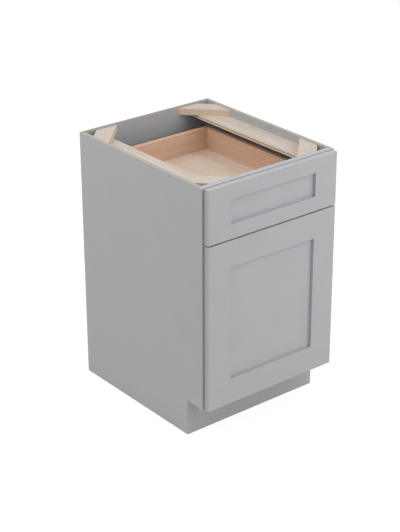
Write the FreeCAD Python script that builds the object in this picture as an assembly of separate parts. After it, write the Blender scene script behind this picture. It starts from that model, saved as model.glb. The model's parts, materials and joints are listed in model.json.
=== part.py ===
import FreeCAD, Part
import math
import os

from FreeCAD import Vector

# Face-frame base cabinet with one drawer over one door.
# Worked in millimetres with +X to the right, +Y to the back, +Z up.
# While the pieces are made, y = 0 is the front plane of the face frame and z = 0 is the floor.
# Each piece is moved on saving, so that the origin is the middle of the footprint.

# Driving dimensions of the plywood box
CABINET_WIDTH = 533.4
CABINET_DEPTH = 628.65         # front of the face frame to the back
CABINET_HEIGHT = 876.3
PANEL_THICKNESS = 12.7         # sides, back, deck and toe board
JOINT_DEPTH = 6.35             # rabbets and dados
TOE_HEIGHT = 114.3             # floor to the underside of the face frame
TOE_DEPTH = 76.2               # front of the face frame to the toe board
TOE_RISE = 11.0                # the toe notch stands this much higher behind its front edge
TOE_COVE = 30.0                # run of the curve that leads up to that height

# Face frame
FRAME_THICKNESS = 19.05
STILE_WIDTH = 38.1
TOP_RAIL_WIDTH = 38.1
MID_RAIL_WIDTH = 38.1
MID_RAIL_DROP = 12.7           # its middle below the line between the two fronts
BOTTOM_RAIL_WIDTH = 38.1
TENON_LENGTH = 9.5
TENON_THICKNESS = 6.35
TENON_SHOULDER = 5.0

# Drawer kicker strips and the corner blocks that rest on them
BLOCK_DROP = 3.2               # top of the blocks below the rim
BLOCK_THICKNESS = 22.2
BLOCK_LEG = 127.0
BLOCK_CLIP = 44.45             # corner cut off where the block meets the cabinet's corner
KICKER_THICKNESS = 12.7
KICKER_WIDTH = 76.2

# Shelf and its pins
SHELF_THICKNESS = 15.9
SHELF_DEPTH = 510.0
SHELF_PLAY = 1.5
PEG_RADIUS = 2.5
PEG_CLEARANCE = 0.05
PEG_HOLE_DEPTH = 9.0
PEG_PITCH = 32.0
PEG_ROWS = 5
PEG_INSET = 60.0               # peg columns from the shelf's front and rear edges
PEG_TONGUE_LENGTH = 14.0
PEG_TONGUE_WIDTH = 9.0
PEG_TONGUE_THICKNESS = 2.4

# Framed fronts: the door and the drawer front
FRONT_THICKNESS = 19.05
FRONT_GAP = 3.0                # closed fronts stand off the frame by their bumpers
SIDE_REVEAL = 6.35
TOP_REVEAL = 1.6
BOTTOM_REVEAL = 9.5
FRONT_SPACING = 4.8            # between the drawer front and the door
DRAWER_FRONT_HEIGHT = 180.0
FRONT_STILE_WIDTH = 88.9
DOOR_RAIL_WIDTH = 88.9
DRAWER_RAIL_WIDTH = 50.0
FIELD_THICKNESS = 6.35         # flat panel inside the framed front
FIELD_RECESS = 9.5             # the panel lies this far behind the frame's face
FIELD_GROOVE = 9.5
FIELD_PLAY = 1.0
EDGE_ROUND = 1.6

# Drawer box
BOX_REAR_ROOM = 47.45          # drawer box to the cabinet's back panel
BOX_LENGTH = CABINET_DEPTH - PANEL_THICKNESS - BOX_REAR_ROOM + FRONT_GAP
BOX_HEIGHT = 95.25
BOX_CLEARANCE = 12.7           # each side, in the frame's opening
BOARD_THICKNESS = 15.9
FLOOR_THICKNESS = 6.35
FLOOR_RISE = 12.7              # underside of the floor above the lower edge of the boards
FLOOR_GROOVE = 6.35
FLOOR_PLAY = 0.5
TAIL_PITCH = 25.4
TAIL_LENGTH = 11.1
TAIL_ROOT = 10.0
TAIL_SLOPE = 6.0               # one in six
BOARD_ROUND = 2.0              # along the top edges of the boards

# Undermount runners: cabinet rail, middle rail and drawer rail on each side
RUNNER_ROOM = 12.7             # middle rail of the frame to the underside of the drawer box
RUNNER_WIDTH = 30.0
RUNNER_INSET = 20.0            # inner face of the drawer side to the runner's middle
RUNNER_SHEET = 1.2
RUNNER_SLOT = 12.0             # between the lips of a channel
RUNNER_SPACE = 3.0             # between the lower and the upper channel
CABINET_RAIL_SETBACK = 1.5     # behind the front of the face frame
CABINET_RAIL_SHORT = 8.2       # ends this far before the back of the drawer box
CABINET_RAIL_LENGTH = BOX_LENGTH - FRONT_GAP - CABINET_RAIL_SETBACK - CABINET_RAIL_SHORT
MIDDLE_RAIL_SETBACK = 3.0      # behind the front end of the drawer rail
MIDDLE_RAIL_SHORT = 29.0       # ends this far before the cabinet rail
MIDDLE_FLANGE_PLAY = 1.8       # each side of the middle rail's flange, in its channel
PAD_COUNT = 2                  # pads in each channel
PAD_LENGTH = 40.0
PAD_STEP = 145.0
PAD_CLEARANCE = 0.15
NOTCH_PLAY = 3.0               # notch in the drawer back, each side of the runner
CLIP_LENGTH = 52.0
CLIP_WIDTH = 24.0
CLIP_HEIGHT = 9.0
CLIP_LEVER = 16.0
BRACKET_LAP = 35.0             # of the rail in its rear bracket
BRACKET_PLATE = 3.0
BRACKET_TONGUE = 5.0
BRACKET_CHEEK = 2.5
BRACKET_CHEEK_HEIGHT = 8.0
BRACKET_PLAY = 0.3
BRACKET_PLATE_MARGIN = 8.0     # of the bracket's plate beyond its cheeks
BRACKET_PLATE_HEIGHT = 40.0

# Concealed hinges, one pivot each, on the right-hand stile
HINGE_INSET = 89.0             # hinge from the door's top and bottom edge
CUP_RADIUS = 17.5
CUP_DEPTH = 12.5
CUP_WALL = 0.8
CUP_EDGE = 3.0                 # wood left between the cup and the door's edge
FLANGE_THICKNESS = 1.0
FLANGE_RIM = 1.0
EAR_HALF_LENGTH = 27.0
EAR_WIDTH = 10.0
EAR_OFFSET = 9.5               # ears from the cup's middle, away from the door's edge
EAR_SCREW_SPACING = 45.0
PIVOT_INSET = 7.0              # pivot from the door's edge
PIVOT_DEPTH = 9.0              # pivot into the door from its back
PIVOT_RADIUS = 1.25
PIVOT_CLEARANCE = 0.05
BARREL_RADIUS = 2.5
ARM_THICKNESS = 2.0
ARM_WIDTH = 7.0
ARM_REACH = 17.0               # straight run of the arm from the pivot
ARM_DROP = 3.0                 # depth in the cup where the arm turns out of its mouth
PLATE_THICKNESS = 2.0
PLATE_LENGTH = 40.0
PLATE_SETBACK = 1.5
PLATE_WIDTH = 15.5
PLATE_SCREW_SPACING = 27.0

# Screws and bumpers
SCREW_RADIUS = 1.75
SCREW_HEAD_RADIUS = 3.5
SCREW_HEAD_HEIGHT = 1.2
SCREW_GRIP = 9.0               # depth of a screw in the wood behind the fitting
BUMPER_RADIUS = 4.5
BUMPER_ROUND = 0.8
BUMPER_INSET = 12.0
BUMPER_AIR = 0.1
SMALL_SIDES = 12               # flat sides of small round fasteners and their holes

# Planes that several pieces share
half_width = CABINET_WIDTH / 2
inner_half = half_width - PANEL_THICKNESS
opening_half = half_width - STILE_WIDTH
front_half = half_width - SIDE_REVEAL
front_back_y = -FRONT_GAP
front_face_y = front_back_y - FRONT_THICKNESS
back_inner_y = CABINET_DEPTH - PANEL_THICKNESS
middle_y = (front_face_y + CABINET_DEPTH) / 2

drawer_front_top = CABINET_HEIGHT - TOP_REVEAL
drawer_front_bottom = drawer_front_top - DRAWER_FRONT_HEIGHT
door_top = drawer_front_bottom - FRONT_SPACING
door_bottom = TOE_HEIGHT + BOTTOM_REVEAL
mid_rail_middle = (door_top + drawer_front_bottom) / 2 - MID_RAIL_DROP
mid_rail_top = mid_rail_middle + MID_RAIL_WIDTH / 2
mid_rail_bottom = mid_rail_middle - MID_RAIL_WIDTH / 2
deck_top = TOE_HEIGHT + BOTTOM_RAIL_WIDTH
deck_bottom = deck_top - PANEL_THICKNESS
block_bottom = CABINET_HEIGHT - BLOCK_DROP - BLOCK_THICKNESS
kicker_bottom = block_bottom - KICKER_THICKNESS

shelf_back = back_inner_y - SHELF_PLAY
shelf_front = shelf_back - SHELF_DEPTH
peg_columns = (shelf_front + PEG_INSET, shelf_back - PEG_INSET)
peg_rows = [(deck_top + mid_rail_bottom) / 2 + (row - (PEG_ROWS - 1) / 2) * PEG_PITCH
            for row in range(PEG_ROWS)]
shelf_peg = peg_rows[PEG_ROWS // 2]
shelf_bottom = shelf_peg + PEG_TONGUE_THICKNESS / 2

box_half = opening_half - BOX_CLEARANCE
box_inner_half = box_half - BOARD_THICKNESS
box_front = front_back_y
box_back = box_front + BOX_LENGTH
box_front_inner = box_front + BOARD_THICKNESS
box_back_inner = box_back - BOARD_THICKNESS
box_bottom = mid_rail_top + RUNNER_ROOM
box_top = box_bottom + BOX_HEIGHT
floor_bottom = box_bottom + FLOOR_RISE
floor_top = floor_bottom + FLOOR_THICKNESS
tail_count = max(1, int(BOX_HEIGHT // TAIL_PITCH))

runner_x = box_inner_half - RUNNER_INSET
channel_height = (floor_bottom - mid_rail_top - RUNNER_SPACE) / 2
cabinet_rail_end = CABINET_RAIL_SETBACK + CABINET_RAIL_LENGTH
middle_rail_start = box_front_inner + MIDDLE_RAIL_SETBACK
middle_rail_end = cabinet_rail_end - MIDDLE_RAIL_SHORT

overlay = front_half - opening_half
cup_middle = CUP_EDGE + CUP_RADIUS
hinge_heights = {"upper": door_top - HINGE_INSET, "lower": door_bottom + HINGE_INSET}


def block(x_low, x_high, y_low, y_high, z_low, z_high):
    """A plain board between two planes in each direction."""
    return Part.makeBox(x_high - x_low, y_high - y_low, z_high - z_low, Vector(x_low, y_low, z_low))


def prism(points, along):
    """A closed outline of points, carried along a vector."""
    return Part.Face(Part.makePolygon(points + [points[0]])).extrude(along)


def rod(radius, start, along):
    """A round bar from a point, along a vector."""
    return Part.makeCylinder(radius, along.Length, start, along)


def small_rod(radius, start, along):
    """A round bar of a fastener or its hole, with SMALL_SIDES flat sides inside the circle."""
    first = along.cross(Vector(along.y, along.z, along.x)).normalize()
    second = along.cross(first).normalize()
    turns = [2 * math.pi * side / SMALL_SIDES for side in range(SMALL_SIDES)]
    return prism([start + (first * math.cos(turn) + second * math.sin(turn)) * radius for turn in turns],
                 along)


def mirrored(shape):
    """The same piece on the other side of the cabinet."""
    return shape.mirror(Vector(0, 0, 0), Vector(1, 0, 0))


def screw(head_seat, inward, length):
    """A pan-head screw: its head sits on head_seat and its shank runs inward."""
    shank = small_rod(SCREW_RADIUS, head_seat, inward * length)
    head = small_rod(SCREW_HEAD_RADIUS, head_seat, inward * -SCREW_HEAD_HEIGHT)
    return head.fuse(shank)


def save(node, *solids):
    """Write one node, with the origin moved to the middle of the footprint."""
    shape = solids[0] if len(solids) == 1 else Part.makeCompound(list(solids))
    placed = shape.copy()
    placed.translate(Vector(0, -middle_y, 0))
    placed.exportStep("parts/" + node + ".step")


def toe_notch():
    """The toe space as a cutter: a flat roof that curves down to the frame's front edge."""
    roof = TOE_HEIGHT + TOE_RISE
    radius = (TOE_COVE ** 2 + TOE_RISE ** 2) / (2 * TOE_RISE)
    half_turn = math.asin(TOE_COVE / radius) / 2
    tip = Vector(-half_width, 0, TOE_HEIGHT)
    curve_top = Vector(-half_width, TOE_COVE, roof)
    curve_middle = Vector(-half_width, TOE_COVE - radius * math.sin(half_turn),
                          roof - radius * (1 - math.cos(half_turn)))
    rest = Part.makePolygon([curve_top, Vector(-half_width, TOE_DEPTH, roof),
                             Vector(-half_width, TOE_DEPTH, 0), Vector(-half_width, 0, 0), tip])
    curve = Part.Arc(tip, curve_middle, curve_top).toShape()
    outline = Part.Wire([curve] + rest.Edges)
    return Part.Face(outline).extrude(Vector(STILE_WIDTH, 0, 0))


def side_panel():
    """Left side: toe notch, dado for the deck, rabbet for the back and rows of peg holes."""
    panel = block(-half_width, -inner_half, FRAME_THICKNESS - JOINT_DEPTH, CABINET_DEPTH,
                  0, CABINET_HEIGHT)
    groove_x = -inner_half - JOINT_DEPTH
    dado = block(groove_x, -inner_half, FRAME_THICKNESS, back_inner_y, deck_bottom, deck_top)
    rabbet = block(groove_x, -inner_half, back_inner_y, CABINET_DEPTH, 0, CABINET_HEIGHT)
    holes = [small_rod(PEG_RADIUS + PEG_CLEARANCE, Vector(-inner_half, y, z),
                       Vector(-PEG_HOLE_DEPTH, 0, 0)) for y in peg_columns for z in peg_rows]
    return panel.cut([toe_notch(), dado, rabbet] + holes)


def frame_rail(z_low, z_high, tenons_only=False):
    """A rail of the face frame with a tenon at each end, or the tenons alone as a cutter."""
    tenon_front = (FRAME_THICKNESS - TENON_THICKNESS) / 2
    tenons = block(-opening_half - TENON_LENGTH, opening_half + TENON_LENGTH, tenon_front,
                   tenon_front + TENON_THICKNESS, z_low + TENON_SHOULDER, z_high - TENON_SHOULDER)
    if tenons_only:
        return tenons
    return block(-opening_half, opening_half, 0, FRAME_THICKNESS, z_low, z_high).fuse(tenons)


def frame_stile():
    """Left stile: rabbet for the side panel, the toe curve, and a mortise for each rail."""
    stile = block(-half_width, -opening_half, 0, FRAME_THICKNESS, TOE_HEIGHT, CABINET_HEIGHT)
    rabbet = block(-half_width, -inner_half, FRAME_THICKNESS - JOINT_DEPTH, FRAME_THICKNESS,
                   TOE_HEIGHT, CABINET_HEIGHT)
    mortises = [frame_rail(low, high, tenons_only=True) for low, high in frame_rails.values()]
    return stile.cut([rabbet, toe_notch()] + mortises)


def corner_block(side, corner_y, inward):
    """A three-cornered block in one corner of the rim, with its square corner cut off."""
    corners = ((BLOCK_CLIP, 0), (BLOCK_LEG, 0), (0, BLOCK_LEG), (0, BLOCK_CLIP))
    outline = [Vector(side * (inner_half - across), corner_y + inward * along, block_bottom)
               for across, along in corners]
    return prism(outline, Vector(0, 0, BLOCK_THICKNESS))


def shelf_peg_at(side, y):
    """A peg in its hole, with a flat tongue under the shelf."""
    peg = small_rod(PEG_RADIUS, Vector(side * inner_half, y, shelf_peg),
                    Vector(side * PEG_HOLE_DEPTH, 0, 0))
    edges = sorted((side * inner_half, side * (inner_half - PEG_TONGUE_LENGTH)))
    tongue = block(edges[0], edges[1], y - PEG_TONGUE_WIDTH / 2, y + PEG_TONGUE_WIDTH / 2,
                   shelf_bottom - PEG_TONGUE_THICKNESS, shelf_bottom)
    return peg.fuse(tongue)


def framed_front(z_low, z_high, rail_width):
    """Five pieces of a framed front: stiles and rails grooved for a thin flat panel."""
    envelope = block(-front_half, front_half, front_face_y, front_back_y, z_low, z_high)
    front_edges = [edge for edge in envelope.Edges
                   if all(abs(v.Point.y - front_face_y) < EDGE_ROUND for v in edge.Vertexes)]
    envelope = envelope.makeFillet(EDGE_ROUND, front_edges)
    inner_x = front_half - FRONT_STILE_WIDTH
    inner_low = z_low + rail_width
    inner_high = z_high - rail_width
    field_y = front_face_y + FIELD_RECESS
    field_back = field_y + FIELD_THICKNESS
    groove_x = inner_x + FIELD_GROOVE
    groove = block(-groove_x, groove_x, field_y, field_back, inner_low - FIELD_GROOVE,
                   inner_high + FIELD_GROOVE)
    tongues = block(-groove_x, groove_x, field_y, field_back, z_low, z_high)
    between = block(-inner_x, inner_x, front_face_y, front_back_y, z_low, z_high)
    stiles = envelope.cut([between, tongues])
    rails = envelope.common(between.fuse(tongues))
    window = block(-groove_x, groove_x, front_face_y, front_back_y, inner_low, inner_high)
    rails = rails.cut([window, groove])
    left_stile, right_stile = sorted(stiles.Solids, key=lambda solid: solid.CenterOfMass.x)
    bottom_rail, top_rail = sorted(rails.Solids, key=lambda solid: solid.CenterOfMass.z)
    reach = FIELD_GROOVE - FIELD_PLAY
    field = block(-inner_x - reach, inner_x + reach, field_y, field_back,
                  inner_low - reach, inner_high + reach)
    return {"left_stile": left_stile, "right_stile": right_stile, "top_rail": top_rail,
            "bottom_rail": bottom_rail, "panel": field}


def dovetails():
    """The tails of both drawer sides at both ends, as one cutter for the front and back."""
    tails = []
    flare = TAIL_LENGTH / TAIL_SLOPE
    for root_y, outward in ((box_front_inner, -1), (box_back_inner, 1)):
        for number in range(tail_count):
            z = box_bottom + BOX_HEIGHT * (number + 0.5) / tail_count
            tip_y = root_y + outward * TAIL_LENGTH
            outline = [Vector(box_inner_half, root_y, z - TAIL_ROOT / 2),
                       Vector(box_inner_half, root_y, z + TAIL_ROOT / 2),
                       Vector(box_inner_half, tip_y, z + TAIL_ROOT / 2 + flare),
                       Vector(box_inner_half, tip_y, z - TAIL_ROOT / 2 - flare)]
            tail = prism(outline, Vector(BOARD_THICKNESS, 0, 0))
            tails += [tail, mirrored(tail)]
    return tails


def rounded_board(x_low, x_high, y_low, y_high):
    """A drawer board with its long top edges rounded over."""
    board = block(x_low, x_high, y_low, y_high, box_bottom, box_top)
    longest = max(x_high - x_low, y_high - y_low)
    edges = [edge for edge in board.Edges
             if edge.CenterOfMass.z > box_top - BOARD_ROUND and edge.Length > longest - BOARD_ROUND]
    return board.makeFillet(BOARD_ROUND, edges)


def drawer_box():
    """Five pieces of the drawer box: dovetailed boards round a floor held in grooves."""
    groove_x = box_inner_half + FLOOR_GROOVE
    groove_front = box_front_inner - FLOOR_GROOVE
    groove_back = box_back_inner + FLOOR_GROOVE
    groove = block(-groove_x, groove_x, groove_front, groove_back, floor_bottom, floor_top)
    floor = block(-groove_x + FLOOR_PLAY, groove_x - FLOOR_PLAY, groove_front + FLOOR_PLAY,
                  groove_back - FLOOR_PLAY, floor_bottom, floor_top)
    tails = dovetails()
    right_tails = [tail for tail in tails if tail.CenterOfMass.x > 0]
    right_side = rounded_board(box_inner_half, box_half, box_front_inner, box_back_inner)
    right_side = right_side.fuse(right_tails).removeSplitter().cut(groove)
    front = rounded_board(-box_half, box_half, box_front, box_front_inner)
    back = rounded_board(-box_half, box_half, box_back_inner, box_back)
    notch_half = RUNNER_WIDTH / 2 + NOTCH_PLAY
    notch = block(runner_x - notch_half, runner_x + notch_half, box_back_inner, box_back,
                  box_bottom, floor_bottom)
    return {"right_side": right_side, "left_side": mirrored(right_side),
            "front": front.cut(tails + [groove]),
            "back": back.cut(tails + [groove, notch, mirrored(notch)]), "bottom": floor}


def channel(base_z, upward, y_low, y_high):
    """Right-hand channel rail with turned-in lips, open upward (1) or downward (-1)."""
    half = RUNNER_WIDTH / 2
    inner = half - RUNNER_SHEET
    slot = RUNNER_SLOT / 2
    steps = ((-half, 0), (half, 0), (half, channel_height), (slot, channel_height),
             (slot, channel_height - RUNNER_SHEET), (inner, channel_height - RUNNER_SHEET),
             (inner, RUNNER_SHEET), (-inner, RUNNER_SHEET), (-inner, channel_height - RUNNER_SHEET),
             (-slot, channel_height - RUNNER_SHEET), (-slot, channel_height), (-half, channel_height))
    outline = [Vector(runner_x + across, y_low, base_z + upward * rise) for across, rise in steps]
    return prism(outline, Vector(0, y_high - y_low, 0))


def middle_rail():
    """Right-hand middle rail: a flange inside each channel, joined by a web through the slots."""
    flange_half = RUNNER_WIDTH / 2 - RUNNER_SHEET - MIDDLE_FLANGE_PLAY
    inset = (channel_height - RUNNER_SHEET) / 2
    low = mid_rail_top + inset
    high = floor_bottom - inset
    lower = block(runner_x - flange_half, runner_x + flange_half, middle_rail_start, middle_rail_end,
                  low, low + RUNNER_SHEET)
    upper = block(runner_x - flange_half, runner_x + flange_half, middle_rail_start, middle_rail_end,
                  high - RUNNER_SHEET, high)
    web = block(runner_x - RUNNER_SHEET, runner_x + RUNNER_SHEET, middle_rail_start, middle_rail_end,
                low, high)
    return lower.fuse([upper, web]).removeSplitter()


def glide_pads():
    """Nylon pads clipped round the right-hand middle rail: lower ones at the rear, upper in front."""
    half = RUNNER_WIDTH / 2 - RUNNER_SHEET - PAD_CLEARANCE
    lower_z = mid_rail_top + RUNNER_SHEET + PAD_CLEARANCE
    upper_z = floor_bottom - RUNNER_SHEET - PAD_CLEARANCE
    height = channel_height - 2 * RUNNER_SHEET - 2 * PAD_CLEARANCE
    pads = []
    for number in range(PAD_COUNT):
        rear = middle_rail_end - number * PAD_STEP
        front = middle_rail_start + number * PAD_STEP
        pads.append(block(runner_x - half, runner_x + half, rear - PAD_LENGTH, rear,
                          lower_z, lower_z + height))
        pads.append(block(runner_x - half, runner_x + half, front, front + PAD_LENGTH,
                          upper_z - height, upper_z))
    return [pad.cut(middle_rail()) for pad in pads]


def rear_bracket():
    """Right-hand moulded bracket: a plate on the cabinet's back, with a socket under the rail's end."""
    socket_half = RUNNER_WIDTH / 2 + BRACKET_PLAY
    outer_half = socket_half + BRACKET_CHEEK
    socket_front = cabinet_rail_end - BRACKET_LAP
    tongue_bottom = mid_rail_top - BRACKET_TONGUE
    plate_half = outer_half + BRACKET_PLATE_MARGIN
    plate = block(runner_x - plate_half, runner_x + plate_half, back_inner_y - BRACKET_PLATE,
                  back_inner_y, tongue_bottom + BRACKET_CHEEK_HEIGHT - BRACKET_PLATE_HEIGHT / 2,
                  tongue_bottom + BRACKET_CHEEK_HEIGHT + BRACKET_PLATE_HEIGHT / 2)
    socket = block(runner_x - outer_half, runner_x + outer_half, socket_front, back_inner_y,
                   tongue_bottom, mid_rail_top + BRACKET_CHEEK_HEIGHT)
    room = block(runner_x - socket_half, runner_x + socket_half, socket_front,
                 back_inner_y - BRACKET_PLATE, mid_rail_top, mid_rail_top + BRACKET_CHEEK_HEIGHT)
    return plate.fuse(socket).removeSplitter().cut(room)


def locking_clip():
    """Right-hand clip under the drawer floor, beside the drawer rail, with a finger lever."""
    outer = runner_x - RUNNER_WIDTH / 2
    body = block(outer - CLIP_WIDTH, outer, box_front_inner, box_front_inner + CLIP_LENGTH,
                 floor_bottom - CLIP_HEIGHT, floor_bottom)
    lever_end = outer - CLIP_WIDTH - CLIP_LEVER
    lever = [Vector(outer - CLIP_WIDTH, box_front_inner, floor_bottom),
             Vector(lever_end, box_front_inner, floor_bottom),
             Vector(lever_end, box_front_inner + CLIP_HEIGHT, floor_bottom),
             Vector(outer - CLIP_WIDTH, box_front_inner + CLIP_LEVER, floor_bottom)]
    return body.fuse(prism(lever, Vector(0, 0, -CLIP_HEIGHT / 2))).removeSplitter()


def runner_screw_seats():
    """Head seat, direction and length of each screw of the right-hand runner."""
    seats = [(Vector(runner_x, FRAME_THICKNESS / 2, mid_rail_top + RUNNER_SHEET), Vector(0, 0, -1),
              SCREW_GRIP + RUNNER_SHEET)]
    plate_y = back_inner_y - BRACKET_PLATE
    spread = RUNNER_WIDTH / 2 + BRACKET_PLAY + BRACKET_CHEEK + BRACKET_PLATE_MARGIN / 2
    plate_z = mid_rail_top - BRACKET_TONGUE + BRACKET_CHEEK_HEIGHT
    for side in (-1, 1):
        seats.append((Vector(runner_x + side * spread, plate_y, plate_z), Vector(0, 1, 0),
                      SCREW_GRIP + BRACKET_PLATE))
    return seats


def hinge_point(inset, forward, z):
    """A point at a distance in from the door's hinge edge and forward of the face frame."""
    return Vector(front_half - inset, -forward, z)


def hinge_arm(z):
    """Fixed arm: a plate on the stile's inner edge, a strip into the cup and a barrel for the pin."""
    low = z - ARM_WIDTH / 2
    pivot_forward = FRONT_GAP + PIVOT_DEPTH
    outer = pivot_forward + BARREL_RADIUS
    inner = outer - ARM_THICKNESS
    bend = PIVOT_INSET + ARM_REACH
    neck = overlay + PLATE_THICKNESS
    neck_far = neck + ARM_THICKNESS
    turn = FRONT_GAP + ARM_DROP
    root = -PLATE_SETBACK - PLATE_WIDTH
    strip = ((PIVOT_INSET, inner), (bend - ARM_THICKNESS / 2, inner), (neck, turn), (neck, root),
             (neck_far, root), (neck_far, turn + ARM_THICKNESS / 2), (bend, outer), (PIVOT_INSET, outer))
    arm = prism([hinge_point(inset, forward, low) for inset, forward in strip], Vector(0, 0, ARM_WIDTH))
    pivot = hinge_point(PIVOT_INSET, pivot_forward, low)
    plate = block(front_half - neck, front_half - overlay, PLATE_SETBACK, PLATE_SETBACK + PLATE_WIDTH,
                  z - PLATE_LENGTH / 2, z + PLATE_LENGTH / 2)
    barrel = rod(BARREL_RADIUS, pivot, Vector(0, 0, ARM_WIDTH))
    eye = rod(PIVOT_RADIUS + PIVOT_CLEARANCE, pivot, Vector(0, 0, ARM_WIDTH))
    return arm.fuse([plate, barrel]).removeSplitter().cut(eye)


def hinge_pin(z):
    """Pin across the cup, ending in the cup's wall."""
    across = CUP_RADIUS - (PIVOT_INSET - PIVOT_RADIUS - CUP_EDGE)
    half_length = math.sqrt(CUP_RADIUS ** 2 - across ** 2) - CUP_WALL / 4
    start = hinge_point(PIVOT_INSET, FRONT_GAP + PIVOT_DEPTH, z - half_length)
    return rod(PIVOT_RADIUS, start, Vector(0, 0, 2 * half_length))


def hinge_cup_space(z):
    """The round bore in the door that takes the cup."""
    return rod(CUP_RADIUS, hinge_point(cup_middle, FRONT_GAP, z), Vector(0, -CUP_DEPTH, 0))


def hinge_cup(z):
    """Pressed cup with a flange on the door's back, two ears for screws and holes for the pin."""
    seat = hinge_point(cup_middle, FRONT_GAP, z)
    flange = rod(CUP_RADIUS + FLANGE_RIM, seat, Vector(0, FLANGE_THICKNESS, 0))
    ear_x = front_half - cup_middle - EAR_OFFSET
    ears = block(ear_x - EAR_WIDTH / 2, ear_x + EAR_WIDTH / 2, front_back_y,
                 front_back_y + FLANGE_THICKNESS, z - EAR_HALF_LENGTH, z + EAR_HALF_LENGTH)
    mouth = rod(CUP_RADIUS - CUP_WALL, seat + Vector(0, FLANGE_THICKNESS, 0),
                Vector(0, -FLANGE_THICKNESS - CUP_DEPTH + CUP_WALL, 0))
    return hinge_cup_space(z).fuse([flange, ears]).removeSplitter().cut([mouth, hinge_pin(z)])


def cup_screw_seats(z):
    """Head seat, direction and length of the two screws of a cup."""
    return [(hinge_point(cup_middle + EAR_OFFSET, FRONT_GAP - FLANGE_THICKNESS,
                         z + side * EAR_SCREW_SPACING / 2),
             Vector(0, -1, 0), SCREW_GRIP + FLANGE_THICKNESS) for side in (-1, 1)]


def arm_screw_seats(z):
    """Head seat, direction and length of the two screws of a hinge plate."""
    return [(Vector(opening_half - PLATE_THICKNESS, PLATE_SETBACK + PLATE_WIDTH / 2,
                    z + side * PLATE_SCREW_SPACING / 2),
             Vector(1, 0, 0), SCREW_GRIP + PLATE_THICKNESS) for side in (-1, 1)]


def front_screw_seats():
    """Head seat, direction and length of the screws that hold the drawer front to its box."""
    x = (box_inner_half + front_half - FRONT_STILE_WIDTH + FIELD_GROOVE) / 2
    middle_z = (floor_top + box_top) / 2
    step_z = (box_top - floor_top) / 4
    return [(Vector(side * x, box_front_inner, middle_z + up * step_z), Vector(0, -1, 0),
             SCREW_GRIP + BOARD_THICKNESS) for side in (-1, 1) for up in (-1, 1)]


def bumper(x, z):
    """A small cushion on the back of a front, just clear of the frame."""
    height = FRONT_GAP - BUMPER_AIR
    foot = small_rod(BUMPER_RADIUS, Vector(x, front_back_y, z), Vector(0, height, 0))
    rim = [edge for edge in foot.Edges
           if all(v.Point.y > front_back_y + height / 2 for v in edge.Vertexes)]
    return foot.makeChamfer(BUMPER_ROUND, rim)


def bored(shape, seats):
    """A piece with the shanks of its screws taken out of it."""
    return shape.cut([small_rod(SCREW_RADIUS, seat, inward * length) for seat, inward, length in seats])


os.makedirs("parts", exist_ok=True)

frame_rails = {
    "top": (CABINET_HEIGHT - TOP_RAIL_WIDTH, CABINET_HEIGHT),
    "mid": (mid_rail_bottom, mid_rail_top),
    "bottom": (TOE_HEIGHT, deck_top),
}
right_runner_seats = runner_screw_seats()
arm_seats = [seat for z in hinge_heights.values() for seat in arm_screw_seats(z)]
cup_seats = [seat for z in hinge_heights.values() for seat in cup_screw_seats(z)]
front_seats = front_screw_seats()
rail_seats = right_runner_seats[:1]
bracket_seats = right_runner_seats[1:]

# Plywood box
left_panel = side_panel()
save("left_side_panel", left_panel)
save("right_side_panel", mirrored(left_panel))
back_panel = block(-inner_half - JOINT_DEPTH, inner_half + JOINT_DEPTH, back_inner_y, CABINET_DEPTH,
                   0, CABINET_HEIGHT)
back_panel = mirrored(bored(mirrored(bored(back_panel, bracket_seats)), bracket_seats))
save("back_panel", back_panel)
save("bottom_panel", block(-inner_half - JOINT_DEPTH, inner_half + JOINT_DEPTH, FRAME_THICKNESS,
                           back_inner_y, deck_bottom, deck_top))
save("toe_kick_board", block(-inner_half, inner_half, TOE_DEPTH, TOE_DEPTH + PANEL_THICKNESS,
                             0, deck_bottom))

# Face frame
left_stile = frame_stile()
save("frame_left_stile", left_stile)
save("frame_right_stile", bored(mirrored(left_stile), arm_seats))
for name, (low, high) in frame_rails.items():
    rail = frame_rail(low, high)
    if name == "mid":
        rail = mirrored(bored(mirrored(bored(rail, rail_seats)), rail_seats))
    save("frame_" + name + "_rail", rail)

# Kicker strips and corner blocks
kicker = block(inner_half - KICKER_WIDTH, inner_half, FRAME_THICKNESS, back_inner_y,
               kicker_bottom, block_bottom)
save("drawer_kicker_right", kicker)
save("drawer_kicker_left", mirrored(kicker))
for end, corner_y, inward in (("front", FRAME_THICKNESS, 1), ("back", back_inner_y, -1)):
    for side_name, side in (("left", -1), ("right", 1)):
        save("corner_block_" + end + "_" + side_name, corner_block(side, corner_y, inward))

# Shelf
save("adjustable_shelf", block(-inner_half + SHELF_PLAY, inner_half - SHELF_PLAY, shelf_front,
                               shelf_back, shelf_bottom, shelf_bottom + SHELF_THICKNESS))
save("shelf_pins", *[shelf_peg_at(side, y) for side in (-1, 1) for y in peg_columns])

# Drawer box and its framed front
for name, board in drawer_box().items():
    save("drawer_box_" + name, bored(board, front_seats) if name == "front" else board)
for name, piece in framed_front(drawer_front_bottom, drawer_front_top, DRAWER_RAIL_WIDTH).items():
    save("drawer_front_" + name, bored(piece, front_seats) if "stile" in name else piece)
save("drawer_front_screws", *[screw(*seat) for seat in front_seats])
drawer_bumper_x = front_half - BUMPER_INSET
save("drawer_front_bumpers", *[bumper(side * drawer_bumper_x, drawer_front_bottom + BUMPER_INSET)
                               for side in (-1, 1)])

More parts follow.
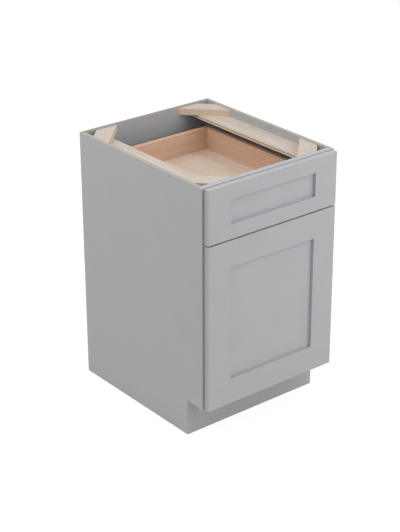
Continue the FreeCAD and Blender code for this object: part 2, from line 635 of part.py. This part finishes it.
# Runners
cabinet_rail = bored(channel(mid_rail_top, 1, CABINET_RAIL_SETBACK, cabinet_rail_end), rail_seats)
right_pieces = {
    "cabinet_rail": cabinet_rail,
    "rear_bracket": bored(rear_bracket(), bracket_seats),
    "middle_rail": middle_rail(),
    "drawer_rail": channel(floor_bottom, -1, box_front_inner, box_back),
    "drawer_clip": locking_clip(),
}
for name, piece in right_pieces.items():
    save("runner_right_" + name, piece)
    save("runner_left_" + name, mirrored(piece))
right_pads = glide_pads()
save("runner_glide_pads", *right_pads, *[mirrored(pad) for pad in right_pads])
right_screws = [screw(*seat) for seat in right_runner_seats]
save("runner_screws", *right_screws, *[mirrored(piece) for piece in right_screws])

# Door and hinges
door = framed_front(door_bottom, door_top, DOOR_RAIL_WIDTH)
cup_spaces = [hinge_cup_space(z) for z in hinge_heights.values()]
door["right_stile"] = bored(door["right_stile"].cut(cup_spaces), cup_seats)
for name, piece in door.items():
    save("door_" + name, piece)
for name, z in hinge_heights.items():
    save("hinge_" + name + "_arm", bored(hinge_arm(z), arm_screw_seats(z)))
    save("hinge_" + name + "_cup", bored(hinge_cup(z), cup_screw_seats(z)))
save("hinge_pins", *[hinge_pin(z) for z in hinge_heights.values()])
save("hinge_arm_screws", *[screw(*seat) for seat in arm_seats])
save("hinge_cup_screws", *[screw(*seat) for seat in cup_seats])
save("door_bumpers", *[bumper(-drawer_bumper_x, z) for z in (door_bottom + BUMPER_INSET,
                                                             door_top - BUMPER_INSET)])
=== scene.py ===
import json
import math

import bmesh
import bpy
import numpy as np
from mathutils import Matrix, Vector

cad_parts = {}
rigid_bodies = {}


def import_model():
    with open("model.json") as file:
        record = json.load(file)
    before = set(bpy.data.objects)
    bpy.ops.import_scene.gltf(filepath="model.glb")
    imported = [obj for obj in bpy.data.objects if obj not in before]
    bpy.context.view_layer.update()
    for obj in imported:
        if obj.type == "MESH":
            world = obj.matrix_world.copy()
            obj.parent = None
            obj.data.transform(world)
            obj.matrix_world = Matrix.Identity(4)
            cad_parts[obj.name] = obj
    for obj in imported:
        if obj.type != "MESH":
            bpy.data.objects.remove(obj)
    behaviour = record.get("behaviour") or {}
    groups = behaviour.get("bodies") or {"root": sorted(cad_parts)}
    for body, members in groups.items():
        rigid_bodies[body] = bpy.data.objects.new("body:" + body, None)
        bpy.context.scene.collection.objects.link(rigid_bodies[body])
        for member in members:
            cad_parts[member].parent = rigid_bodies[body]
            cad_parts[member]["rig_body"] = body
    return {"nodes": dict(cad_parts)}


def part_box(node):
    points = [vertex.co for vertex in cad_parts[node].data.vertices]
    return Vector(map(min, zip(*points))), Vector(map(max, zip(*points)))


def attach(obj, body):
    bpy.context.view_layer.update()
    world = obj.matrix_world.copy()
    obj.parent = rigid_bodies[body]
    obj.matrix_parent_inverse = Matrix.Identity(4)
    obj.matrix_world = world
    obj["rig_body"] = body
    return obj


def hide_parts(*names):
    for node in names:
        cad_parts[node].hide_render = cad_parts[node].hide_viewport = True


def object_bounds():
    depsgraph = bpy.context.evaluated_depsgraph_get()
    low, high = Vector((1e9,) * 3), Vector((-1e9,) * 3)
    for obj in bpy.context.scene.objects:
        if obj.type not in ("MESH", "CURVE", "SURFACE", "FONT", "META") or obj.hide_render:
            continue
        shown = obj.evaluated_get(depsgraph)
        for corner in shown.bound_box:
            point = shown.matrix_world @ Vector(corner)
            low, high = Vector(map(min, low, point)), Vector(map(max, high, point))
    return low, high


# Looks of a face-frame base cabinet with one drawer over one door.
# Metres in the frame's own axes: +X right, +Y back, +Z up, floor at zero.
# The frame's painted boards, runners and hinges keep their own meshes and get their finishes here.
# Bare blocks and strips are drawn again with sanded edges, and screws and bumpers with their real
# heads and domes.

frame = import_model()
cad_low, cad_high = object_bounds()
nodes = frame["nodes"]

MM = 0.001

# Camera of the photograph
CAMERA_PLACE = Vector((-2.889, -3.559, 2.580))
CAMERA_AZIMUTH = math.radians(39.21)
CAMERA_ELEVATION = math.radians(25.18)
CAMERA_LENS = 103.7
CAMERA_SHIFT = (-0.0203, 0.0066)

# Studio
FLOOR_REACH = 12.0
FLOOR_WHITE = "#EDEDED"
FLOOR_SHADOW_SHARE = 0.15          # how much of the floor's own shading the camera sees
FLOOR_GLOW = 1.092                 # brings the rest up to plain white where no shadow lies
ROOM_WHITE = "#FFFFFF"
ROOM_LIGHT = 0.54                  # what the white room gives the object
ROOM_SEEN = 1.0                    # what the camera sees of it
KEY_PLACE = Vector((1.1, -2.0, 1.9))
KEY_SIZE = 2.2
KEY_POWER = 27.0
TOP_PLACE = Vector((-0.9, 0.4, 2.2))
TOP_SIZE = 2.4
TOP_POWER = 17.5

# Spans of the noise patterns, whose values lie round a half
MOST = (0.3, 0.7)
NEARLY_ALL = (0.2, 0.8)
PEAKS = (0.55, 0.8)
WHOLE = (0.0, 1.0)
FACING = (0.6, 0.8)                # share of a normal along an axis, from turned away to facing it

# Every pattern size below is in millimetres: a number, or a width across and a length along the grain.
# Real pores, flecks, sawn fibres, rolling lines and mould grain are finer, and are drawn as coarse as
# they need to show. A relief is a depth in millimetres and a strength.

# Sprayed paint, with the darker and lighter shade of each coat
FRONTS_GREY = ("#B2B3B6", "#B4B5B8")
# The side panels carry the fronts' paint, drawn a shade lighter: painted light that makes up for the
# dimmer light on the sides
SIDES_GREY_PAINTED_LIGHT = ("#B3B4B6", "#B5B6B8")
# The back panel carries the interior grey of the sides' inner faces, drawn darker: painted shade of the
# cabinet's inside
BACK_GREY_PAINTED_SHADE = ("#A7AAAF", "#A9ACB1")
BOARDS_GREY = ("#ACADAF", "#AEAFB1")
PAINT_CLOUD = 90.0
PAINT_PEEL = 2.2
PAINT_ROUGHNESS = (0.40, 0.50)
PAINT_RELIEF = (0.05, 0.25)

# Plywood, with the pale and dark plies of each sawn edge
PANEL_LAYERS = 5
BLOCK_LAYERS = 9
STRIP_LAYERS = 3                   # drawn thicker than real plies, so that they show
SIDE_PLIES = ("#C4BFB8", "#AAA49D")
# The back panel's sawn edge is the sides' plywood drawn darker: painted shade on the back rim
BACK_PLIES_PAINTED_SHADE = ("#A9A199", "#91887F")
# Block and strip edges are drawn paler than their birch faces: the plies are real, the paleness is painted
# light on edges that lie in shade
BLOCK_PLIES_PAINTED_LIGHT = ("#E7D6C2", "#D6C3AC")
STRIP_PLIES_PAINTED_LIGHT = ("#F2E4D2", "#BCA78E")
GLUE_LINE = 30.0                   # length of a wave of the glue line
GLUE_WAVE = 0.12                   # its height, as a share of a ply
SAWN_FIBRE = 1.2
SAWN_FIBRE_SHADE = "#8C7860"
SAWN_FIBRE_SHARE = 0.35
RIM_FADE = (2.0, 1.0)              # millimetres under the rim between which paint gives way to bare wood
PANEL_ROUGHNESS = (0.45, 0.75)     # painted and bare

# Birch faces
BIRCH_SHADES = ("#C5B9AB", "#D3C8BE")
BIRCH_PORE_SHADE = "#B4A492"
BIRCH_PORE_SHARE = 0.5
BLOCK_FLAME = (9.0, 160.0)
BLOCK_PORE = (0.7, 14.0)
BLOCK_RELIEF = (0.08, 0.35)
SHEET_FLAME = (26.0, 320.0)        # wider figure of a large rotary-cut sheet
SHEET_PORE = (0.8, 12.0)

# Drawer box
BOX_SHADES = ("#D2AD94", "#DBB9A1")
BOX_BAND = (7.0, 220.0)
BOX_FLECK = (0.6, 9.0)
BOX_FLECK_SHADE = "#BB9278"
BOX_FLECK_SHARE = 0.3
BOX_END_SHADE = "#B07F5E"
BOX_ROUGHNESS = (0.36, 0.48)
BOX_FLOOR_SHADES = ("#D5C1AD", "#E3D2C1")
BOX_FLOOR_PORE_SHADE = "#C3A78E"
BOX_FLOOR_ROUGHNESS = (0.40, 0.50)
LACQUER_RELIEF = (0.04, 0.2)

# Fittings
ZINC_SHADES = ("#B3B7BC", "#C9CCCF")
ZINC_PATCH = 14.0
ROLLING_LINE = (0.5, 30.0)
ZINC_ROUGHNESS = (0.28, 0.42)
ZINC_RELIEF = (0.02, 0.15)
NYLON_SHADES = ("#8A8C8E", "#999B9D")
NYLON_GRAIN = 0.6
NYLON_ROUGHNESS = (0.42, 0.58)
NYLON_RELIEF = (0.03, 0.3)
BUMPER_SHADES = ("#DDE1E3", "#EEF0F1")
BUMPER_SKIN = 1.5
BUMPER_ROUGHNESS = (0.2, 0.35)

# Shapes of the pieces drawn again, in millimetres
ARRIS = 0.5                        # sanded edge of bare blocks and strips
ARRIS_FACETS = 2
SAME_POINT = 0.01                  # corners nearer than this are one corner
SCREW_HEAD_RADIUS = 3.5
SCREW_HEAD_HEIGHT = 1.2
SCREW_RIM = 0.35
SCREW_RADIUS = 1.75
SCREW_RINGS = 22
SCREW_SPACING = 0.8                # below one, so that the rings lie closer towards the rim
SCREW_FLATNESS = 4                 # the higher, the flatter the head's middle
CROSS_REACH = 2.1
CROSS_FADE = 0.5                   # how far before its reach a bar starts to run out
CROSS_HALF_WIDTH = 0.55
CROSS_WALL = (0.65, 1.35)          # half-widths between which the wall of a bar rises
CROSS_DEPTH = 0.8
BUMPER_RINGS = 14
BUMPER_FULLNESS = 0.5              # below one, so that the dome is fuller than a ball
SCREW_SIDES = 64
BUMPER_SIDES = 32

# A Mix node's colour sockets share their names with others and go by number
MIX_FIRST = 6
MIX_SECOND = 7
MIX_RESULT = 2


def linear(code):
    """sRGB hex to linear colour, with full alpha."""
    srgb = np.array([int(code[i:i + 2], 16) for i in (1, 3, 5)]) / 255
    low = srgb / 12.92
    high = ((srgb + 0.055) / 1.055) ** 2.4
    return (*np.where(srgb <= 0.04045, low, high), 1.0)


def add(tree, kind, inputs=None, **settings):
    """Add one node; inputs holds a value or a linked output for each socket, by name or number."""
    node = tree.nodes.new("ShaderNode" + kind)
    for name, value in settings.items():
        setattr(node, name, value)
    for name, value in (inputs or {}).items():
        if isinstance(value, bpy.types.NodeSocket):
            tree.links.new(value, node.inputs[name])
        else:
            node.inputs[name].default_value = value
    return node


def empty_tree(owner):
    """Node tree of a material or a world, with nothing in it."""
    owner.use_nodes = True
    owner.node_tree.nodes.clear()
    return owner.node_tree


def new_material(name, **constants):
    """A material with one shader, whose even values are set on its own sockets."""
    material = bpy.data.materials.new(name)
    tree = empty_tree(material)
    shader = add(tree, "BsdfPrincipled")
    for socket, value in constants.items():
        shader.inputs[socket.replace("_", " ")].default_value = value
    add(tree, "OutputMaterial", {"Surface": shader.outputs[0]})
    return material, tree, shader


def pattern(tree, size, along=None, detail=2.0):
    """Noise whose features have this size, drawn out along the grain where there is one."""
    width, length = size if along else (size, size)
    scale = [1 / (MM * (length if axis == along else width)) for axis in "XYZ"]
    place = add(tree, "TexCoord").outputs["Object"]
    sized = add(tree, "Mapping", {"Vector": place, "Scale": scale}).outputs[0]
    return add(tree, "TexNoise", {"Vector": sized, "Scale": 1.0, "Detail": detail}).outputs["Fac"]


def shaded(tree, lead, first, second, span=None, shares=WHOLE):
    """Colour that goes from first to second with a leading value.

    The lead is itself the share of second or, with a span, that share goes smoothly through shares
    while the lead goes through the span.
    """
    if span:
        lead = add(tree, "MapRange", {"Value": lead, "From Min": span[0], "From Max": span[1],
                                      "To Min": shares[0], "To Max": shares[1]},
                   interpolation_type="SMOOTHSTEP").outputs[0]
    colours = {0: lead, MIX_FIRST: first, MIX_SECOND: second}
    return add(tree, "Mix", colours, data_type="RGBA").outputs[MIX_RESULT]


def surface(tree, shader, colour, gloss=None, span=NEARLY_ALL, roughness=None, height=None, relief=None):
    """Give a shader its colour, its gloss and its relief.

    Roughness goes smoothly between two values while the gloss pattern goes through the span, and the
    height pattern stands out by the relief.
    """
    tree.links.new(colour, shader.inputs["Base Color"])
    if roughness:
        rough = add(tree, "MapRange", {"Value": gloss, "From Min": span[0], "From Max": span[1],
                                       "To Min": roughness[0], "To Max": roughness[1]},
                    interpolation_type="SMOOTHSTEP")
        tree.links.new(rough.outputs[0], shader.inputs["Roughness"])
    if relief:
        depth, strength = relief
        bump = add(tree, "Bump", {"Height": height, "Distance": depth * MM, "Strength": strength})
        tree.links.new(bump.outputs[0], shader.inputs["Normal"])


def facing(tree, axis, either_way=False):
    """One where a surface faces along an axis, or along it either way."""
    normal = add(tree, "TexCoord").outputs["Normal"]
    share = add(tree, "SeparateXYZ", {0: normal}).outputs[axis]
    if either_way:
        share = add(tree, "Math", {0: share}, operation="ABSOLUTE").outputs[0]
    return add(tree, "MapRange", {"Value": share, "From Min": FACING[0], "From Max": FACING[1]},
               interpolation_type="SMOOTHSTEP").outputs[0]


def sprayed_paint(tree, shades):
    """Colour and orange peel of sprayed satin paint: an even coat with a faint cloud."""
    cloud = pattern(tree, PAINT_CLOUD)
    peel = pattern(tree, PAINT_PEEL, detail=1.0)
    return shaded(tree, cloud, linear(shades[0]), linear(shades[1]), MOST), peel


def every_second_ply(tree, axis, face, ply):
    """One on every second ply, counted from a face of the board, with a slightly wavy glue line.

    A point at distance d from the cabinet's middle plane, or from the floor, lies (d + wave - face) / ply
    plies from that face.
    """
    place = add(tree, "TexCoord").outputs["Object"]
    across = add(tree, "SeparateXYZ", {0: place}).outputs[axis]
    across = add(tree, "Math", {0: across}, operation="ABSOLUTE").outputs[0]
    wave = add(tree, "MapRange", {"Value": pattern(tree, GLUE_LINE), "From Min": NEARLY_ALL[0],
                                  "From Max": NEARLY_ALL[1], "To Min": -GLUE_WAVE * ply,
                                  "To Max": GLUE_WAVE * ply}, interpolation_type="SMOOTHSTEP").outputs[0]
    moved = add(tree, "Math", {0: across, 1: wave}, operation="ADD").outputs[0]
    depth = add(tree, "Math", {0: moved, 1: face}, operation="SUBTRACT").outputs[0]
    count = add(tree, "Math", {0: depth, 1: ply}, operation="DIVIDE").outputs[0]
    in_pair = add(tree, "Math", {0: count, 1: 2.0}, operation="FLOORED_MODULO").outputs[0]
    return add(tree, "Math", {0: in_pair, 1: 1.0}, operation="GREATER_THAN").outputs[0]


def ply_edge(tree, axis, face, ply, plies):
    """Colour of a sawn plywood edge: pale long-grain plies between darker end-grain ones."""
    layers = every_second_ply(tree, axis, face, ply)
    edge = shaded(tree, layers, linear(plies[0]), linear(plies[1]))
    fibre = pattern(tree, SAWN_FIBRE, detail=3.0)
    return shaded(tree, fibre, edge, linear(SAWN_FIBRE_SHADE), MOST, (SAWN_FIBRE_SHARE, 0.0))


def birch_face(tree, along, flame_size, pore_size, shades=BIRCH_SHADES, pore_shade=BIRCH_PORE_SHADE):
    """Colour and pores of a rotary-cut birch face: soft flames and short dark pores along the grain."""
    flame = pattern(tree, flame_size, along, detail=4.0)
    pore = pattern(tree, pore_size, along)
    face = shaded(tree, flame, linear(shades[0]), linear(shades[1]), MOST)
    return shaded(tree, pore, face, linear(pore_shade), PEAKS, (0.0, BIRCH_PORE_SHARE)), pore


def painted_wood(name, shades):
    """Maple or plywood under sprayed satin paint: even grey, soft gloss, faint orange peel."""
    material, tree, shader = new_material(name, IOR=1.5)
    colour, peel = sprayed_paint(tree, shades)
    surface(tree, shader, colour, gloss=peel, roughness=PAINT_ROUGHNESS, height=peel, relief=PAINT_RELIEF)
    return material


def painted_plywood(name, shades, plies, axis, face, thickness, raw_wall=False):
    """Grey-finished plywood, bare on the sawn edge at the rim and on the wall side.

    On the side panels the wall side is a sawn edge, and on the back panel it is a raw birch face.
    """
    material, tree, shader = new_material(name, IOR=1.5)
    colour, peel = sprayed_paint(tree, shades)
    edge = ply_edge(tree, axis, face, thickness / PANEL_LAYERS, plies)
    raw = birch_face(tree, "Z", SHEET_FLAME, SHEET_PORE)[0] if raw_wall else edge
    place = add(tree, "TexCoord").outputs["Object"]
    height = add(tree, "SeparateXYZ", {0: place}).outputs["Z"]
    rim = add(tree, "MapRange", {"Value": height, "From Min": cad_high.z - RIM_FADE[0] * MM,
                                 "From Max": cad_high.z - RIM_FADE[1] * MM},
              interpolation_type="SMOOTHSTEP").outputs[0]
    top = add(tree, "Math", {0: facing(tree, "Z"), 1: rim}, operation="MULTIPLY").outputs[0]
    wall = facing(tree, "Y")
    bare = add(tree, "Math", {0: top, 1: wall}, operation="MAXIMUM").outputs[0]
    colour = shaded(tree, wall, shaded(tree, top, colour, edge), raw)
    surface(tree, shader, colour, gloss=bare, span=WHOLE, roughness=PANEL_ROUGHNESS,
            height=peel, relief=PAINT_RELIEF)
    return material


def bare_plywood(name, node, layers, along, plies):
    """Bare birch plywood: rotary-cut face with soft flames, and layers on its sawn edges."""
    material, tree, shader = new_material(name, IOR=1.45, Roughness=0.7)
    low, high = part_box(node)
    face, pore = birch_face(tree, along, BLOCK_FLAME, BLOCK_PORE)
    edge = ply_edge(tree, "Z", low.z, (high.z - low.z) / layers, plies)
    colour = shaded(tree, facing(tree, "Z", either_way=True), edge, face)
    surface(tree, shader, colour, height=pore, relief=BLOCK_RELIEF)
    return material


def lacquered_birch(name, along):
    """Planed birch under clear lacquer: warm straight grain, darker where the end grain shows."""
    material, tree, shader = new_material(name, IOR=1.5)
    band = pattern(tree, BOX_BAND, along, detail=4.0)
    fleck = pattern(tree, BOX_FLECK, along)
    wood = shaded(tree, band, linear(BOX_SHADES[0]), linear(BOX_SHADES[1]), MOST)
    wood = shaded(tree, fleck, wood, linear(BOX_FLECK_SHADE), PEAKS, (0.0, BOX_FLECK_SHARE))
    wood = shaded(tree, facing(tree, along, either_way=True), wood, linear(BOX_END_SHADE))
    surface(tree, shader, wood, gloss=fleck, roughness=BOX_ROUGHNESS, height=fleck, relief=LACQUER_RELIEF)
    return material


def birch_floor(name):
    """Thin birch plywood of the drawer's floor: pale face with wide soft flames under clear lacquer."""
    material, tree, shader = new_material(name, IOR=1.5)
    face, pore = birch_face(tree, "Y", SHEET_FLAME, SHEET_PORE, BOX_FLOOR_SHADES, BOX_FLOOR_PORE_SHADE)
    surface(tree, shader, face, gloss=pore, roughness=BOX_FLOOR_ROUGHNESS, height=pore,
            relief=LACQUER_RELIEF)
    return material


def plated_steel(name):
    """Zinc-plated sheet steel: bluish grey, with rolling lines along the sheet."""
    material, tree, shader = new_material(name, Metallic=1.0)
    line = pattern(tree, ROLLING_LINE, "Y")
    patch = pattern(tree, ZINC_PATCH)
    colour = shaded(tree, patch, linear(ZINC_SHADES[0]), linear(ZINC_SHADES[1]))
    surface(tree, shader, colour, gloss=line, roughness=ZINC_ROUGHNESS, height=line, relief=ZINC_RELIEF)
    return material


def moulded_nylon(name):
    """Injection-moulded nylon: mid grey with the fine spark-eroded grain of its mould."""
    material, tree, shader = new_material(name, IOR=1.53)
    grain = pattern(tree, NYLON_GRAIN)
    colour = shaded(tree, grain, linear(NYLON_SHADES[0]), linear(NYLON_SHADES[1]))
    surface(tree, shader, colour, gloss=grain, roughness=NYLON_ROUGHNESS, height=grain,
            relief=NYLON_RELIEF)
    return material


def cast_bumper(name):
    """Cast clear polyurethane: soft translucent dome with a slightly dull skin."""
    material, tree, shader = new_material(name, IOR=1.5, Transmission_Weight=0.7)
    skin = pattern(tree, BUMPER_SKIN)
    colour = shaded(tree, skin, linear(BUMPER_SHADES[0]), linear(BUMPER_SHADES[1]))
    surface(tree, shader, colour, gloss=skin, roughness=BUMPER_ROUGHNESS)
    return material


def dress(material, *names):
    """Give CAD nodes their finish."""
    for name in names:
        nodes[name].material_slots[0].material = material


def stand_in(mesh, node):
    """A piece that takes a node's place, on the node's body."""
    piece = bpy.data.objects.new(mesh.name, mesh)
    bpy.context.scene.collection.objects.link(piece)
    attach(piece, nodes[node]["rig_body"])
    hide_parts(node)
    return piece


def close_skin(mesh):
    """Join the corners of a mesh that lie on one point."""
    skin = bmesh.new()
    skin.from_mesh(mesh)
    bmesh.ops.remove_doubles(skin, verts=skin.verts, dist=SAME_POINT * MM)
    skin.to_mesh(mesh)
    skin.free()


def sanded_board(node):
    """A bare board with sanded arrises: a joined copy of the node's mesh with its edges eased."""
    mesh = nodes[node].data.copy()
    mesh.name = "sanded_" + node
    close_skin(mesh)
    bevel = stand_in(mesh, node).modifiers.new("eased", "BEVEL")
    bevel.width = ARRIS * MM
    bevel.segments = ARRIS_FACETS
    bevel.limit_method = "ANGLE"


def solids_of(node):
    """Lowest and highest corner of each separate solid of a node, found by spreading labels over faces."""
    mesh = nodes[node].data
    points = np.empty(len(mesh.vertices) * 3)
    mesh.vertices.foreach_get("co", points)
    points = points.reshape(-1, 3)
    corners = np.empty(len(mesh.loops), int)
    mesh.loops.foreach_get("vertex_index", corners)
    joined = np.unique(np.round(points / (SAME_POINT * MM)), axis=0, return_inverse=True)[1].ravel()
    faces = joined[corners].reshape(-1, 3)
    label = np.arange(joined.max() + 1)
    settled = False
    while not settled:
        before = label.copy()
        lowest = label[faces].min(axis=1)
        for corner in faces.T:
            np.minimum.at(label, corner, lowest)
        settled = np.array_equal(before, label)
    owner = label[joined]
    solids = [points[owner == one] for one in np.unique(owner)]
    return [(solid.min(axis=0), solid.max(axis=0)) for solid in solids]


def turned_piece(name, rings, material, node):
    """A mesh of closed rings, given as an array of pieces, rings, points around and coordinates.

    Each piece starts and ends in a ring of no radius.
    """
    pieces, count, around, _ = rings.shape
    grid = np.arange(pieces * count * around).reshape(pieces, count, around)
    ahead = np.roll(grid, -1, axis=2)
    quads = np.stack([grid[:, :-1], ahead[:, :-1], ahead[:, 1:], grid[:, 1:]], axis=-1).reshape(-1, 4)
    mesh = bpy.data.meshes.new(name)
    mesh.from_pydata(rings.reshape(-1, 3).tolist(), [], quads.tolist())
    close_skin(mesh)
    mesh.materials.append(material)
    stand_in(mesh, node)


def cross_screws(name, node, ways, material):
    """Pan-head screws with a cross recess; ways tells which way a screw along X, Y or Z points.

    Ring s of the head, from 0 in the middle to 1 at the edge, has radius R s^0.8 and height
    rim + (H - rim) (1 - s^4). A cross of two bars lowers it: a bar has its full depth near its middle
    line, rises along its walls and runs out towards its reach. The side then drops to the seat, runs in
    to the shank and down to its end, where the rings close.
    """
    head_radius = SCREW_HEAD_RADIUS * MM
    head_height = SCREW_HEAD_HEIGHT * MM
    shank_radius = SCREW_RADIUS * MM
    share = np.linspace(0, 1, SCREW_RINGS)[:, None]
    turn = np.linspace(0, 2 * math.pi, SCREW_SIDES, endpoint=False)
    radius = head_radius * share ** SCREW_SPACING
    dome = SCREW_RIM + (SCREW_HEAD_HEIGHT - SCREW_RIM) * (1 - share ** SCREW_FLATNESS)
    beside = radius * np.minimum(np.abs(np.cos(turn)), np.abs(np.sin(turn))) / (CROSS_HALF_WIDTH * MM)
    bar = np.clip((CROSS_WALL[1] - beside) / (CROSS_WALL[1] - CROSS_WALL[0]), 0, 1)
    fade = np.clip((CROSS_REACH * MM - radius) / (CROSS_FADE * MM), 0, 1)
    height = (dome - CROSS_DEPTH * bar * fade) * MM
    built = []
    for low, high in solids_of(node):
        along = np.argmax(high - low)
        inward = np.eye(3)[along] * ways[along]
        first = np.roll(inward, 1)
        second = np.cross(inward, first)
        middle = (low + high) / 2
        top, tip = np.sort([low @ inward, high @ inward])
        seat = middle + inward * (top + head_height - middle @ inward)
        length = tip - top - head_height
        below = np.array([(head_radius, 0.0), (shank_radius, 0.0),
                          (shank_radius, -length), (0.0, -length)])
        out = np.concatenate([radius, below[:, :1]])
        up = np.concatenate([height, np.repeat(below[:, 1:], SCREW_SIDES, axis=1)])
        built.append(seat + (out * np.cos(turn))[..., None] * first
                     + (out * np.sin(turn))[..., None] * second - up[..., None] * inward)
    turned_piece(name, np.array(built), material, node)


def dome_bumpers(name, node, material):
    """Round cushions: radius R cos(a)^0.5 at height H sin(a), from a flat foot to the dome's tip."""
    angle = np.linspace(0, math.pi / 2, BUMPER_RINGS)[:, None]
    turn = np.linspace(0, 2 * math.pi, BUMPER_SIDES, endpoint=False)
    built = []
    for low, high in solids_of(node):
        middle = (low + high) / 2
        radius = (high[0] - low[0]) / 2
        out = np.concatenate([[[0.0]], radius * np.cos(angle) ** BUMPER_FULLNESS])
        depth = low[1] + np.concatenate([[[0.0]], (high[1] - low[1]) * np.sin(angle)])
        built.append(np.stack([middle[0] + out * np.sin(turn), np.repeat(depth, BUMPER_SIDES, axis=1),
                               middle[2] + out * np.cos(turn)], axis=-1))
    turned_piece(name, np.array(built), material, node)


def backdrop_rays(tree):
    """One for rays that show the backdrop: straight to the camera, in gloss or through clear pieces."""
    path = add(tree, "LightPath").outputs
    shown = path["Is Camera Ray"]
    for ray in ("Is Glossy Ray", "Is Transmission Ray"):
        shown = add(tree, "Math", {0: shown, 1: path[ray]}, operation="MAXIMUM").outputs[0]
    return shown


def white_floor():
    """Wide floor that looks plain white, apart from a share of its own shading."""
    bpy.ops.mesh.primitive_plane_add(size=2 * FLOOR_REACH)
    floor = bpy.context.object
    floor.name = "studio_floor"
    material = bpy.data.materials.new("white_studio_floor")
    tree = empty_tree(material)
    glow = {0: backdrop_rays(tree), 1: 1 - FLOOR_SHADOW_SHARE}
    share = add(tree, "Math", glow, operation="MULTIPLY").outputs[0]
    plain = add(tree, "BsdfDiffuse", {"Color": linear(FLOOR_WHITE)}).outputs[0]
    white = add(tree, "Emission", {"Strength": FLOOR_GLOW}).outputs[0]
    both = add(tree, "MixShader", {0: share, 1: plain, 2: white}).outputs[0]
    add(tree, "OutputMaterial", {"Surface": both})
    floor.data.materials.append(material)


def white_room():
    """Even white light from all round, which the camera sees as plain white."""
    world = bpy.data.worlds.new("white_room")
    bpy.context.scene.world = world
    tree = empty_tree(world)
    light = {"Value": backdrop_rays(tree), "To Min": ROOM_LIGHT, "To Max": ROOM_SEEN}
    strength = add(tree, "MapRange", light).outputs[0]
    sky = add(tree, "Background", {"Strength": strength, "Color": linear(ROOM_WHITE)}).outputs[0]
    add(tree, "OutputWorld", {"Surface": sky})


def soft_lamp(name, place, size, power):
    """Large square lamp, turned to the middle of the cabinet."""
    lamp = bpy.data.lights.new(name, "AREA")
    lamp.size = size
    lamp.energy = power
    holder = bpy.data.objects.new(name, lamp)
    holder.location = place
    middle = (cad_low + cad_high) / 2
    holder.rotation_euler = (middle - place).to_track_quat("-Z", "Y").to_euler()
    bpy.context.scene.collection.objects.link(holder)


def photograph_camera():
    """Camera at the photograph's place and angle."""
    data = bpy.data.cameras.new("photograph_camera")
    data.lens = CAMERA_LENS
    data.shift_x, data.shift_y = CAMERA_SHIFT
    camera = bpy.data.objects.new("photograph_camera", data)
    flat = math.cos(CAMERA_ELEVATION)
    look = Vector((math.sin(CAMERA_AZIMUTH) * flat, math.cos(CAMERA_AZIMUTH) * flat,
                   -math.sin(CAMERA_ELEVATION)))
    camera.location = CAMERA_PLACE
    camera.rotation_euler = look.to_track_quat("-Z", "Y").to_euler()
    bpy.context.scene.collection.objects.link(camera)
    bpy.context.scene.camera = camera


# Finishes
side_low, side_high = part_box("left_side_panel")
back_low, back_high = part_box("back_panel")
paint = painted_wood("satin_painted_maple", FRONTS_GREY)
panel_sides = painted_plywood("grey_plywood_side_painted_light", SIDES_GREY_PAINTED_LIGHT, SIDE_PLIES, "X", -side_high.x,
                              side_high.x - side_low.x)
panel_back = painted_plywood("grey_plywood_back_painted_shade", BACK_GREY_PAINTED_SHADE, BACK_PLIES_PAINTED_SHADE, "Y", back_low.y,
                             back_high.y - back_low.y, raw_wall=True)
panel_boards = painted_wood("grey_finished_plywood", BOARDS_GREY)
block_ply = bare_plywood("birch_plywood_block_painted_light", "corner_block_back_left", BLOCK_LAYERS, "X", BLOCK_PLIES_PAINTED_LIGHT)
strip_ply = bare_plywood("birch_plywood_strip_painted_light", "drawer_kicker_left", STRIP_LAYERS, "Y", STRIP_PLIES_PAINTED_LIGHT)
birch_lengthwise = lacquered_birch("lacquered_birch_sides", "Y")
birch_crosswise = lacquered_birch("lacquered_birch_ends", "X")
floor_ply = birch_floor("lacquered_birch_floor")
steel = plated_steel("zinc_plated_steel")
nylon = moulded_nylon("moulded_nylon")
soft_clear = cast_bumper("cast_clear_polyurethane")

# Pieces
by_slot = {}
for name, node in nodes.items():
    by_slot.setdefault(node.material_slots[0].material.name, []).append(name)
dress(paint, *by_slot["painted_wood"])
dress(panel_sides, "left_side_panel", "right_side_panel")
dress(panel_boards, *by_slot["grey_plywood"])
dress(panel_back, "back_panel")
dress(block_ply, *[name for name in by_slot["raw_plywood"] if "block" in name])
dress(strip_ply, *[name for name in by_slot["raw_plywood"] if "kicker" in name])
dress(birch_crosswise, "drawer_box_front", "drawer_box_back")
dress(birch_lengthwise, "drawer_box_left_side", "drawer_box_right_side")
dress(floor_ply, "drawer_box_bottom")
dress(steel, *by_slot["plated_steel"])
dress(nylon, *by_slot["nylon"])
dress(soft_clear, *by_slot["clear_bumper"])
for name in by_slot["raw_plywood"]:
    sanded_board(name)

cross_screws("front_fixing_screws", "drawer_front_screws", (1, -1, 1), steel)
cross_screws("hinge_plate_screws", "hinge_arm_screws", (1, 1, 1), steel)
cross_screws("hinge_flange_screws", "hinge_cup_screws", (1, -1, 1), steel)
cross_screws("runner_fixing_screws", "runner_screws", (1, 1, -1), steel)
dome_bumpers("door_domes", "door_bumpers", soft_clear)
dome_bumpers("drawer_domes", "drawer_front_bumpers", soft_clear)

# Studio and camera
white_floor()
white_room()
soft_lamp("key_lamp", KEY_PLACE, KEY_SIZE, KEY_POWER)
soft_lamp("top_lamp", TOP_PLACE, TOP_SIZE, TOP_POWER)
photograph_camera()
bpy.context.scene.view_settings.view_transform = "Standard"
